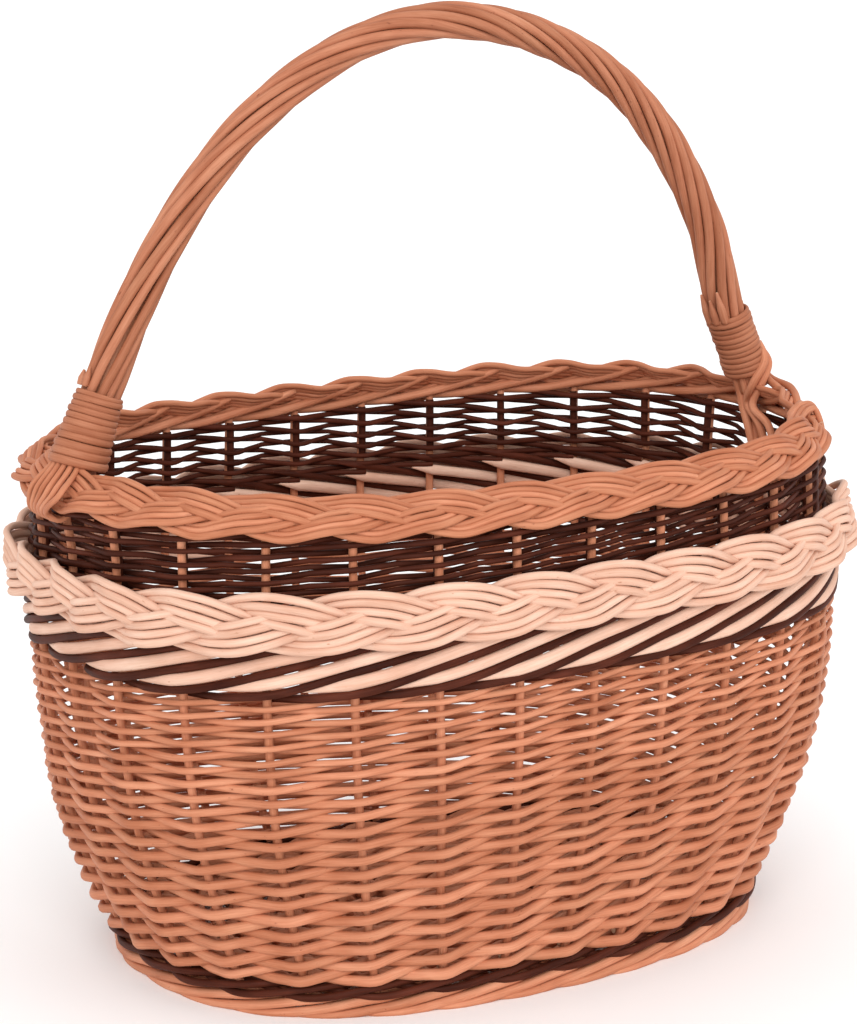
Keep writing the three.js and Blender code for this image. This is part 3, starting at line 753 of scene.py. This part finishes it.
def plait(rods, height, offset, path, swing, lift, gauges, spacing, tilt):
    """One bundle that goes three times round."""
    station = np.arange(0, PLAIT_PERIOD * STAKES, 1 / PLAIT_STEPS)
    middle, across, face = plait_frame(station, height(station), offset(station), tilt)
    swung = swing * repeating_curve(*path, PLAIT_PERIOD, station)
    lifted = lift * repeating_curve(DEPTH_TURNS, DEPTH, PLAIT_PERIOD, station)
    line = middle + across * swung[:, None] + face * lifted[:, None]
    ahead = unit(np.roll(line, -1, 0) - np.roll(line, 1, 0))
    side_way = unit(np.cross(face, ahead))
    flat_face = np.cross(ahead, side_way)
    fan = 1 + 0.1 * np.cos(2 * math.pi * (station - 0.4) / 1.5)
    for index, gauge in enumerate(gauges):
        lane = index - (len(gauges) - 1) / 2
        shift = lane * spacing * fan + closed_wander(len(line), 0.25)
        rest = closed_wander(len(line), 0.25)
        points = line + side_way * shift[:, None] + flat_face * rest[:, None]
        radius = gauge * (1 + closed_wander(len(line), 0.03))
        rods.add(points, radius, flat_face, sides=10, closed=True)


PALE_PLAIT_HALF = 15.6
PALE_PLAIT_OUT = 13.0
PALE_PLAIT_TIGHT = 4.0
PALE_PLAIT_DROP = 5.0
pale_height = low("pale_plait")[2] + PALE_PLAIT_HALF
pale_plait = Rods()


def pale_level(station):
    """The plait is highest at the middle of the front."""
    return pale_height - PALE_PLAIT_DROP * (1 - bulge(station, 0.75 * STAKES, 4.5))


def pale_offset(station):
    """The plait lies closer to the wall at its left end."""
    return PALE_PLAIT_OUT - PALE_PLAIT_TIGHT * bulge(station, STAKES / 2, 2.0)


plait(
    pale_plait,
    pale_level,
    pale_offset,
    (PALE_SWING_TURNS, PALE_SWING),
    swing=7.6,
    lift=3.8,
    gauges=[2.1, 2.0, 2.1, 1.95],
    spacing=4.0,
    tilt=0.0,
)
pale_plait.piece("pale_plait_rods", pale, "pale_willow", ["pale_plait"])

RIM_RISE = 10.5
RIM_OUT = 1.0
RIM_TIGHT = 4.5
RIM_TILT = math.radians(44)
rim_height = ring_heights[-1] + RIM_RISE
rim = Rods()


def rim_level(station):
    return np.full(len(station), rim_height)


def rim_offset(station):
    """The rim is drawn in at its right end."""
    return RIM_OUT - RIM_TIGHT * bulge(station, -1.8, 1.6)


plait(
    rim,
    rim_level,
    rim_offset,
    (RIM_SWING_TURNS, RIM_SWING),
    swing=6.4,
    lift=3.0,
    gauges=[1.8, 1.65, 1.7, 1.6],
    spacing=3.15,
    tilt=RIM_TILT,
)

# Long strokes on the inside of the rim, one from every stake, each over the end of the next.

STROKE_REACH = 2.1
STROKE_RADIUS = 2.4
STROKE_STEPS = 36
stroke = np.linspace(0, 1, STROKE_STEPS)
stroke_up = smooth_curve([0, 0.35, 0.7, 1], [-5.0, -2.5, 2.4, 8.5], stroke)
stroke_in = smooth_curve([0, 0.2, 0.6, 1], [2.0, 4.6, 4.2, -0.5], stroke)
stroke_radius = STROKE_RADIUS * np.interp(stroke, [0, 0.1, 0.85, 1], [0.7, 1, 1, 0.6])
for stake in range(STAKES):
    station = stake + STROKE_REACH * (0.55 - stroke)
    middle, across, face = plait_frame(station, rim_height, rim_offset(station), RIM_TILT)
    up = stroke_up + wander(STROKE_STEPS, 0.25, 9)
    points = middle + across * up[:, None] - face * stroke_in[:, None]
    rim.add(points, stroke_radius, face, sides=10)
rim.piece("rim_plait_rods", buff, "buff_willow", ["rim_plait"])


# Handle.

bow_high = high("handle_bow")
BOW_RADIUS = 4.2
ROPED_BOW_RADIUS = 4.1
ARCH_TOP = bow_high[2] - BOW_RADIUS
ARCH_BOTTOM = rim_height + 16.5
LEG_INSET = 8.8
LEG_RADIUS = 2.3
LEG_STEPS = 30
LEG_DROPS = [4, 20, 36]
LEG_SHIFTS = [0, -6, -13]
leg_heights = np.linspace(bow_low, rim_height - 2, LEG_STEPS)
end_station = np.zeros(LEG_STEPS)
right_leg, _ = wall(end_station, leg_heights, -LEG_INSET - lean(end_station, leg_heights))
right_leg[:, 1] = 0
left_leg = right_leg * [-1, 1, 1]
right_leg[:, 1] = np.interp(rim_height - leg_heights, LEG_DROPS, LEG_SHIFTS)
ARCH_HALF = right_leg[-1, 0] + 1.8
ARCH_FLARE = 3.0
ARCH_LEAN = 7.0
ARCH_PULL = 5.2
ARCH_SHOULDER = 2.3
ARCH_SAMPLES = 601


def arch_line(s):
    """The bow above the rim, for s from -1 at the left to 1 at the right.

    It leans to the right, is pulled in above its right foot and has a high right shoulder.
    """
    drop = 0.69 * s**2 + 0.31 * s**6
    x = s * ARCH_HALF + ARCH_FLARE * s**5 + ARCH_LEAN * (1 - s**4)
    x = x - ARCH_PULL * np.exp(-(((s - 0.93) / 0.065) ** 2))
    shoulder = ARCH_SHOULDER * np.exp(-(((s - 0.55) / 0.26) ** 2))
    x = x + shoulder
    z = ARCH_TOP - (ARCH_TOP - ARCH_BOTTOM) * drop + shoulder
    return np.column_stack([x, np.zeros_like(s), z])


arch = arch_line(np.linspace(-1, 1, ARCH_SAMPLES))
arch_length = np.concatenate([[0], np.cumsum(np.linalg.norm(np.diff(arch, axis=0), axis=1))])
ARCH_TOTAL = arch_length[-1]
arch_ahead = unit(np.gradient(arch, axis=0))
arch_outward = np.cross(arch_ahead, [0.0, 1.0, 0.0])
SIDEWAYS = np.array([0.0, 1.0, 0.0])


def around_arch(distance, radius, angle):
    """Points round the arch, and the direction away from its line. Half a turn faces the front."""
    distance = np.asarray(distance, float)
    beyond = np.minimum(distance, 0) + np.maximum(distance - ARCH_TOTAL, 0)
    inner = np.clip(distance, 0, ARCH_TOTAL)
    line = np.column_stack([np.interp(inner, arch_length, arch[:, k]) for k in range(3)])
    ahead = unit(np.column_stack([np.interp(inner, arch_length, arch_ahead[:, k]) for k in range(3)]))
    outward = unit(np.column_stack([np.interp(inner, arch_length, arch_outward[:, k]) for k in range(3)]))
    line = line + ahead * beyond[:, None]
    face = SIDEWAYS * np.cos(angle)[:, None] + outward * np.sin(angle)[:, None]
    return line + face * np.asarray(radius, float)[..., None], face


bow_rods = Rods()
bow_line = np.vstack([left_leg, arch[10:-10:10], right_leg[::-1]])
bow_radius = np.interp(bow_line[:, 2], [rim_height - 2, ARCH_BOTTOM + 8], [LEG_RADIUS, ROPED_BOW_RADIUS])
bow_rods.add(bow_line, bow_radius, SIDEWAYS, sides=12)
bow_rods.piece("handle_bow_rod", buff, "buff_willow", ["handle_bow"])

ROPE_COUNT = 9
ROPE_ROD = 2.4
ROPE_STEPS = 300
ROPE_BEYOND = 8
ROPE_SHARES = [0, 0.2, 0.4, 0.55, 0.7, 0.85, 1]
ROPE_RATES = [1.6, 1.8, 2.2, 3.2, 3.5, 2.4, 1.4]
ROPE_FROM_FOOT = [0, 30, 42, 54, 76, 160, 260]
ROPE_RADIUS = [6.8, 7.2, 7.7, 7.9, 7.8, 7.2, 6.9]
handle = Rods()
travel = np.linspace(-ROPE_BEYOND, ARCH_TOTAL + ROPE_BEYOND, ROPE_STEPS)
share = np.clip(travel / ARCH_TOTAL, 0, 1)
rates = smooth_curve(ROPE_SHARES, ROPE_RATES, share)
twist = np.concatenate([[0], np.cumsum((rates[1:] + rates[:-1]) / 2 * np.diff(share))])
from_foot = np.clip(np.minimum(travel, ARCH_TOTAL - travel), 0, None)
rope_spread = smooth_curve(ROPE_FROM_FOOT, ROPE_RADIUS, np.minimum(from_foot, ROPE_FROM_FOOT[-1]))
for index in range(ROPE_COUNT):
    angle = 2 * math.pi * (index / ROPE_COUNT + twist) + wander(ROPE_STEPS, 0.05, 30)
    spread = rope_spread + wander(ROPE_STEPS, 0.22, 26)
    points, face = around_arch(travel, spread, angle)
    swell = 1 + 0.06 * np.cos(math.pi * share + index)
    radius = ROPE_ROD * swell * (1 + wander(ROPE_STEPS, 0.02, 24))
    handle.add(points, radius, face, sides=12)


TIP_STEPS = 12


def rod_tip(rods, distance, length, way, radius, angle, gauge):
    """A cut rod end that lies on the roping and comes to a slanting point."""
    steps = np.linspace(0, length, TIP_STEPS)
    lift = np.interp(steps, [0, length], [radius, radius + 0.8])
    points, face = around_arch(distance + way * steps, lift, np.full(TIP_STEPS, angle))
    thin = np.interp(steps / length, [0, 0.45, 1], [1, 1, 0.3])
    rods.add(points, gauge * thin, face, sides=10)


LEFT_TIPS_AT, RIGHT_TIPS_AT = 34, 36
rod_tip(handle, LEFT_TIPS_AT, length=7, way=1, radius=10.6, angle=math.pi * 0.42, gauge=2.1)
rod_tip(handle, LEFT_TIPS_AT, length=9, way=1, radius=10.4, angle=math.pi * 0.55, gauge=1.8)
for turn, length in ((1.24, 17), (1.38, 13), (1.53, 16)):
    rod_tip(
        handle, ARCH_TOTAL - RIGHT_TIPS_AT, length, way=-1, radius=10.8, angle=math.pi * turn, gauge=2.3
    )
handle.piece("handle_roping", shaded_buff, "buff_willow", nodes_named("handle_rod"))


TURN_STEPS = 28


def binding(rods, start, way, turns, gauge, spacing, radii, thick_end):
    """A rod wound round the foot of the handle from its thick end up.

    Radii are the winding's at its bottom, middle and top.
    """
    count = int(turns * TURN_STEPS)
    turn = np.arange(count) / TURN_STEPS
    climb = turn * (1 + thick_end) - thick_end * turn**2 / turns
    thickness = gauge * (1 + thick_end * (1 - 2 * turn / turns))
    distance = start + way * climb * spacing + wander(count, 0.18, 18)
    radius = np.interp(turn / turns, [0, 0.5, 1], radii) + wander(count, 0.2, 22)
    points, face = around_arch(distance, radius, 2 * math.pi * turn)
    rods.add(points, thickness * (1 + wander(count, 0.03, 20)), face, flat=0.66, sides=12)


left_binding = Rods()
binding(
    left_binding,
    start=-3.5,
    way=1,
    turns=11.0,
    gauge=1.78,
    spacing=3.28,
    radii=[13.4, 12.0, 11.0],
    thick_end=0.26,
)
left_binding.piece("handle_binding_left_rod", shaded_buff, "buff_willow", ["handle_binding_left"])
right_binding = Rods()
binding(
    right_binding,
    start=ARCH_TOTAL - 2.0,
    way=-1,
    turns=12.3,
    gauge=1.6,
    spacing=2.95,
    radii=[11.2, 11.0, 11.0],
    thick_end=0.0,
)
right_binding.piece("handle_binding_right_rod", shaded_buff, "buff_willow", ["handle_binding_right"])


# Rod ends that run from the bindings over the rim.


def rim_point(station, across, up):
    """A point that far out of the rim's middle and that far above it."""
    return wall(np.array([station]), np.array([rim_height + up]), np.array([RIM_OUT + across]))[0][0]


def foot_point(distance, radius, angle):
    """A point round the foot of the handle."""
    return around_arch(np.array([distance]), np.array([radius]), np.array([angle]))[0][0]


STRAND_STEPS = 44


def add_strand(rods, stops, gauge):
    """A rod end through a few stops."""
    radius = gauge * (1 + wander(STRAND_STEPS, 0.03, 10))
    rods.add(through(stops, STRAND_STEPS), radius, sides=10)


# On the left a flat band goes down over the end of the rim and under it.

LEFT_STRANDS = 6
left_loop = Rods()
for index in range(LEFT_STRANDS):
    lane = index / (LEFT_STRANDS - 1)
    angle = math.pi * (0.4 + 0.46 * lane)
    stops = [
        foot_point(8, 10.2, angle),
        foot_point(-3, 11.2, angle),
        rim_point(13.75 + 0.75 * lane, 11.8 + lane, -3 + 4 * lane),
        rim_point(13.68 + 0.44 * lane, 10.5, -10.5),
        rim_point(13.68 + 0.44 * lane, 5, -14),
        rim_point(13.68 + 0.44 * lane, -3, -10),
    ]
    add_strand(left_loop, stops, gauge=1.45)
left_loop.piece("handle_loop_left_rods", buff, "buff_willow", ["handle_loop_left"])

# On the right three ends go down inside the wall, two cross over them, two run along the rim and a
# strap lies over it.

right_loop = Rods()
for angle, middle, foot_end in ((1.5, 0.15, -0.08), (1.32, 0.05, -0.18), (1.14, -0.05, -0.3)):
    stops = [
        foot_point(ARCH_TOTAL - 6, 7.6, math.pi * angle),
        foot_point(ARCH_TOTAL + 5, 8.0, math.pi * angle),
        rim_point(middle, -10, -7),
        rim_point(foot_end, -10, -18),
        rim_point(foot_end - 0.1, -8.5, -34),
        rim_point(foot_end - 0.13, -5, -45),
    ]
    add_strand(right_loop, stops, gauge=1.9)
for lane in (0, 1):
    stops = [
        foot_point(ARCH_TOTAL - 14 + 3 * lane, 10.5, math.pi * (0.62 - 0.06 * lane)),
        foot_point(ARCH_TOTAL - 8 + 4 * lane, 12.6, math.pi * (0.84 - 0.1 * lane)),
        foot_point(ARCH_TOTAL + 3, 12.0, math.pi * (1.17 - 0.17 * lane)),
        rim_point(-0.08 - 0.14 * lane, -14, -2),
        rim_point(-0.4 - 0.25 * lane, -13.5, -14 + 1.6 * lane),
        rim_point(-0.58 - 0.25 * lane, -10.5, -28),
        rim_point(-0.64 - 0.25 * lane, -5.5, -44),
    ]
    add_strand(right_loop, stops, gauge=2.2)
for lane in (0, 1):
    angle = math.pi * (0.78 - 0.16 * lane)
    stops = [
        foot_point(ARCH_TOTAL - 8, 9.0, angle),
        foot_point(ARCH_TOTAL + 3, 9.5, angle),
        rim_point(-0.6 - 0.1 * lane, -6 + 5 * lane, 7 + 0.5 * lane),
        rim_point(-1.0 - 0.15 * lane, -9 + 4 * lane, 3),
        rim_point(-1.35 - 0.15 * lane, -10 + 3 * lane, -9),
    ]
    add_strand(right_loop, stops, gauge=2.1)
for lane in (-1, 0, 1):
    along = 0.07 * lane
    stops = [
        rim_point(-2.9, -9 - 2.2 * lane, 5 + 1.4 * lane),
        rim_point(-2.2 + along, -11 - 2.0 * lane, 6.5 + lane),
        rim_point(-1.9 + along, -7 - 1.5 * lane, 7.8 + lane),
        rim_point(-1.75 + 1.3 * along, -2, 6.5),
        rim_point(-1.8 + 1.3 * along, 1, 0),
    ]
    add_strand(right_loop, stops, gauge=1.6)
right_loop.piece("handle_loop_right_rods", buff, "buff_willow", ["handle_loop_right"])


# Base.

base_low, base_high = low("base_weaver_01"), high("base_weaver_01")
base_mid = (base_low[2] + base_high[2]) / 2
BASE_SQUARENESS = 2.5
CROSS_STICK_RADIUS = 3.5
LONG_STICK_RADIUS = 3.0
STICK_STEPS = 40
UPWARD = [0, 0, 1.0]

sticks = Rods()
for name in nodes_named("base_cross_stick"):
    ends = ring_middles(corners(name), 1)[[0, -1]]
    line = through([ends[0], ends.mean(0), ends[1]], 24)
    sticks.add(line, CROSS_STICK_RADIUS, UPWARD, sides=12)
for name in nodes_named("base_long_stick"):
    line = ring_middles(corners(name), 0)
    sticks.add(through(line, STICK_STEPS), LONG_STICK_RADIUS, UPWARD, flat=0.55, sides=12)
stick_nodes = nodes_named("base_cross_stick") + nodes_named("base_long_stick")
sticks.piece("base_sticks", buff, "buff_willow", stick_nodes)


def oval(angle, half_long, half_wide):
    """An oval with fuller corners than an ellipse."""
    power = 2 / BASE_SQUARENESS
    c, s = np.cos(angle), np.sin(angle)
    return np.sign(c) * np.abs(c) ** power * half_long, np.sign(s) * np.abs(s) ** power * half_wide


BASE_ROWS = 23
SPOKES = 26
BASE_STEPS = 320
BASE_ROD = 2.3
BASE_WAVE = 4.2
BASE_EDGE = STAKE_RADIUS + 6.5
FIRST_LONG, FIRST_WIDE = 62.0, 15.0
base = Rods()
angle = np.arange(BASE_STEPS) / BASE_STEPS * 2 * math.pi
inner = np.column_stack(oval(angle, FIRST_LONG, FIRST_WIDE))
stations = angle / (2 * math.pi) * STAKES
edge, _ = wall(stations, np.full(BASE_STEPS, base_mid), np.full(BASE_STEPS, -BASE_EDGE))
outer = edge[:, :2]
for index in range(BASE_ROWS):
    part = index / (BASE_ROWS - 1)
    row_line = inner + (outer - inner) * part
    wave = np.cos(SPOKES / 2 * angle + math.pi * index)
    z = base_mid + wave * BASE_WAVE + closed_wander(BASE_STEPS, 0.2)
    base.add(np.column_stack([row_line, z]), BASE_ROD, UPWARD, sides=8, closed=True)
base.piece("base_weave", buff, "buff_willow", nodes_named("base_weaver"))


# Floor, light and camera.

floor_mesh = bpy.data.meshes.new("floor")
REACH = 14.0
floor_mesh.from_pydata(
    [(-REACH, -REACH, 0), (REACH, -REACH, 0), (REACH, REACH, 0), (-REACH, REACH, 0)], [], [(0, 1, 2, 3)]
)
floor = bpy.data.objects.new("floor", floor_mesh)
bpy.context.scene.collection.objects.link(floor)
floor_material = bpy.data.materials.new("pale_floor")
floor_material.use_nodes = True
floor_nodes = Nodes(floor_material.node_tree)
floor_shader = floor_material.node_tree.nodes["Principled BSDF"]
floor_noise = floor_nodes.add("ShaderNodeTexNoise", Scale=3.0, Detail=2.0)
floor_shades = [(0.3, (0.97, 0.97, 0.97, 1)), (0.7, (0.99, 0.99, 0.99, 1))]
floor_colour = ramp(floor_nodes, floor_noise.outputs["Fac"], floor_shades)
floor_nodes.link(floor_colour, floor_shader.inputs["Base Color"])
floor_shader.inputs["Roughness"].default_value = 0.9
floor_shader.inputs["Specular IOR Level"].default_value = 0.1
floor_mesh.materials.append(floor_material)

world = bpy.data.worlds.new("studio")
bpy.context.scene.world = world
world.use_nodes = True
background = world.node_tree.nodes["Background"]
background.inputs["Color"].default_value = (1, 1, 1, 1)
background.inputs["Strength"].default_value = 1.0


def facing(azimuth, elevation):
    """Direction from the basket towards a light or the camera."""
    return Vector(
        (
            math.sin(azimuth) * math.cos(elevation),
            -math.cos(azimuth) * math.cos(elevation),
            math.sin(elevation),
        )
    )


def soft_sun(name, azimuth, elevation, strength, spread):
    """A wide light from far off. Angles are degrees."""
    data = bpy.data.lights.new(name, "SUN")
    data.energy = strength
    data.angle = math.radians(spread)
    light = bpy.data.objects.new(name, data)
    light.rotation_mode = "QUATERNION"
    way = facing(math.radians(azimuth), math.radians(elevation))
    light.rotation_quaternion = way.to_track_quat("Z", "Y")
    light.location = way * 3
    bpy.context.scene.collection.objects.link(light)


soft_sun("key", azimuth=-30, elevation=30, strength=1.3, spread=40)
soft_sun("fill", azimuth=30, elevation=30, strength=0.3, spread=60)

AZIMUTH, ELEVATION, ROLL = math.radians(-31.09), math.radians(13.01), math.radians(-0.55)
DISTANCE = 1.88515
TARGET = Vector((-0.0015, 0, 0.21066))
IMAGE_WIDTH, IMAGE_HEIGHT = 857, 1024
FOCAL_PIXELS = 3675.66
CENTRE = (431.3, 528.19)

camera_data = bpy.data.cameras.new("camera")
camera = bpy.data.objects.new("camera", camera_data)
bpy.context.scene.collection.objects.link(camera)
bpy.context.scene.camera = camera
back = facing(AZIMUTH, ELEVATION)
right = Vector((math.cos(AZIMUTH), math.sin(AZIMUTH), 0))
up = back.cross(right)
turned_right = right * math.cos(ROLL) + up * math.sin(ROLL)
turned_up = up * math.cos(ROLL) - right * math.sin(ROLL)
eye = TARGET + back * DISTANCE
camera.matrix_world = Matrix(
    (
        (turned_right.x, turned_up.x, back.x, eye.x),
        (turned_right.y, turned_up.y, back.y, eye.y),
        (turned_right.z, turned_up.z, back.z, eye.z),
        (0, 0, 0, 1),
    )
)
camera_data.sensor_width = 36
camera_data.lens = FOCAL_PIXELS / IMAGE_HEIGHT * camera_data.sensor_width
camera_data.shift_x = -(CENTRE[0] - IMAGE_WIDTH / 2) / IMAGE_HEIGHT
camera_data.shift_y = (CENTRE[1] - IMAGE_HEIGHT / 2) / IMAGE_HEIGHT
camera_data.clip_start, camera_data.clip_end = 0.05, 60

bpy.context.scene.view_settings.view_transform = "Standard"
